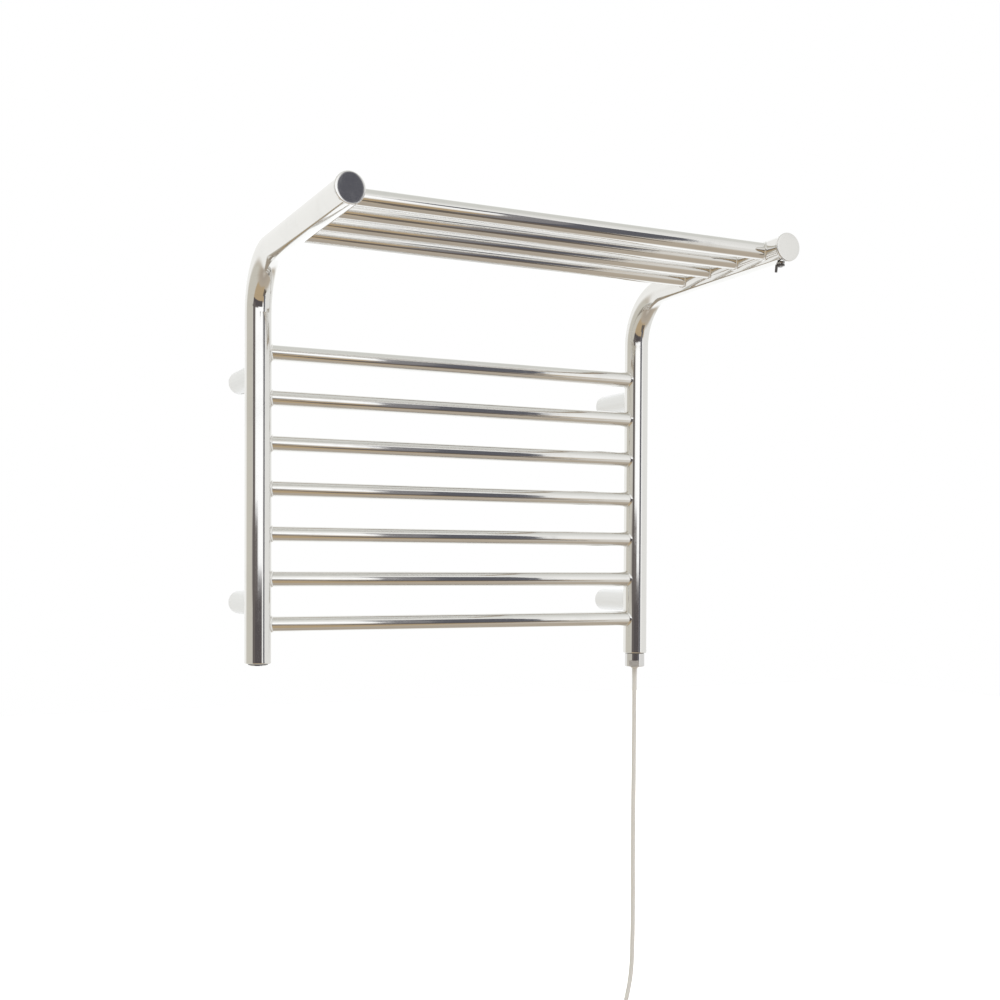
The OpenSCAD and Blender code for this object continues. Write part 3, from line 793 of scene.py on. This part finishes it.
ROOM_BY_HEIGHT = [
    # elevation, colour
    (-90, (190, 182, 170)), (-76, (164, 154, 141)), (-58, (172, 161, 146)), (-44, (176, 165, 149)),
    (-30, (176, 166, 150)), (-22, (184, 175, 162)), (-14, (210, 206, 198)), (-7, (233, 231, 227)),
    (0, (243, 242, 239)), (20, (241, 240, 237)), (28, (231, 230, 226)), (36, (221, 220, 215)),
    (44, (211, 210, 205)), (52, (205, 205, 199)), (90, (203, 203, 197))]
while len(ramp.color_ramp.elements) < len(ROOM_BY_HEIGHT):
    ramp.color_ramp.elements.new(1.0)
for element, (degrees, colour) in zip(ramp.color_ramp.elements, ROOM_BY_HEIGHT):
    element.position = degrees / 180 + 0.5
    element.color = shown(*colour)
patch = seen_patch_group()
ROOM_PATCHES = [
    # middle azimuth, half width, middle elevation, half height, softness, softness up, colour
    (-95, 36, 10, 62, 20, 30, (194, 190, 179)),
    (75, 42, 5, 40, 20, 20, (222, 221, 217)),
    (172, 42, -5, 64, 22, 24, (248, 248, 246)),
    (-172, 32, -5, 64, 28, 24, (234, 233, 229)),
    (-15, 46, -32, 20, 8, 8, (174, 154, 124)),
    (-5.5, 28, 8.5, 9.3, 7, 1.6, (256, 256, 255)),
    (-22, 39, -8, 7.5, 5, 1.2, (84, 79, 79)),
    (-42, 24, 0.4, 1.8, 14, 1.2, (106, 100, 97)),
    (-51, 10, 4, 12, 6, 6, (100, 94, 91)),
    (25, 3.2, 16, 6, 3, 5, (84, 84, 90)),
]
room = ramp.outputs[0]
for middle_az, wide, middle_el, high, soft, soft_up, colour in ROOM_PATCHES:
    mask = add_node(sky, "ShaderNodeGroup", {"node_tree": patch}, Azimuth=azimuth, Elevation=elevation,
                    Middle_Azimuth=float(middle_az), Half_Width=float(wide),
                    Middle_Elevation=float(middle_el), Half_Height=float(high), Softness=float(soft),
                    Softness_Up=float(soft_up)).outputs[0]
    room = add_node(sky, "ShaderNodeMix", {"data_type": "RGBA"}, Factor=mask, i6=room,
                    i7=shown(*colour)).outputs[2]
mirrored = add_node(sky, "ShaderNodeBackground", Color=room, Strength=1.0)
plain_white = add_node(sky, "ShaderNodeBackground", Color=(1, 1, 1, 1), Strength=1.0)
straight = add_node(sky, "ShaderNodeLightPath").outputs["Is Camera Ray"]
both = add_node(sky, "ShaderNodeMixShader", Fac=straight, i1=mirrored.outputs[0], i2=plain_white.outputs[0])
sky.links.new(both.outputs[0], add_node(sky, "ShaderNodeOutputWorld").inputs["Surface"])


def glowing(name, colour, light, strength):
    """A material of one colour that also gives light of its own."""
    material, _, shader = new_material(name)
    shader.inputs["Base Color"].default_value = colour
    shader.inputs["Emission Color"].default_value = light
    shader.inputs["Emission Strength"].default_value = strength
    return material


def stand_in_room(name, low, high, colour):
    """A box of the room, seen only in the polished steel."""
    box = bmesh.new()
    for vert in bmesh.ops.create_cube(box, size=1.0)["verts"]:
        vert.co = [lo + (hi - lo) * (c + 0.5) for lo, hi, c in zip(low, high, vert.co)]
    thing = piece_from(box, name, smooth=False)
    thing.data.materials.append(glowing(name, (0, 0, 0, 1), shown(*colour), 1.0))
    thing.visible_camera = thing.visible_diffuse = thing.visible_shadow = False


stand_in_room("dark_post", (0.54, -1.56, -0.60), (0.84, -1.46, 0.62), (76, 76, 83))
stand_in_room("post_side", (0.43, -1.56, -0.60), (0.54, -1.46, 0.62), (116, 114, 116))
stand_in_room("post_foot", (0.84, -1.56, -0.60), (0.93, -1.46, -0.36), (84, 82, 86))
stand_in_room("dark_bench", (0.18, -1.70, -0.66), (0.80, -0.95, -0.60), (94, 85, 76))

FLOOR_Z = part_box("core_brown")[0].z - 0.03
FLOOR_REACH = 6
floor_mesh = bpy.data.meshes.new("floor")
floor_corners = [(FLOOR_REACH * x, FLOOR_REACH * y, FLOOR_Z) for x, y in ((-1, -1), (1, -1), (1, 1), (-1, 1))]
floor_mesh.from_pydata(floor_corners, [], [(0, 1, 2, 3)])
floor_mesh.materials.append(glowing("white paper", (0.9, 0.9, 0.9, 1), (1, 1, 1, 1), 0.8))
floor = add_piece("floor", floor_mesh)
floor.visible_glossy = floor.visible_diffuse = False

lamp_data = bpy.data.lights.new("soft overhead light", "AREA")
lamp_data.shape = "RECTANGLE"
lamp_data.size, lamp_data.size_y = 2.4, 1.6
lamp_data.energy = 30
lamp = bpy.data.objects.new("soft overhead light", lamp_data)
lamp.location = (-0.4, -1.6, 2.4)
lamp.rotation_euler = (math.radians(32), 0, math.radians(-12))
lamp.visible_glossy = False
bpy.context.scene.collection.objects.link(lamp)
bpy.context.scene.view_settings.view_transform = "Standard"

# ---- Camera ----
# It stands low and to the left of the rail, so that the shelf is seen from below. Its turn, tilt and
# roll are given as angles, and its lens and shift place the rail in the frame.

TURN, TILT, ROLL = math.radians(25.933), math.radians(0.948), math.radians(0.248)
camera_data = bpy.data.cameras.new("camera")
camera_data.sensor_width = 36
camera_data.lens = 47.494
camera_data.shift_y = 0.088
right = Vector((math.cos(TURN), -math.sin(TURN), 0))
ahead = Vector((math.sin(TURN), math.cos(TURN), 0))
up = Vector((0, 0, 1))
up, ahead = up * math.cos(TILT) + ahead * math.sin(TILT), ahead * math.cos(TILT) - up * math.sin(TILT)
right, up = right * math.cos(ROLL) + up * math.sin(ROLL), up * math.cos(ROLL) - right * math.sin(ROLL)
camera = bpy.data.objects.new("camera", camera_data)
facing = Matrix((right, up, -ahead)).transposed().to_4x4()
camera.matrix_world = Matrix.Translation((-0.7677, -1.8057, -0.1001)) @ facing
bpy.context.scene.collection.objects.link(camera)
bpy.context.scene.camera = camera
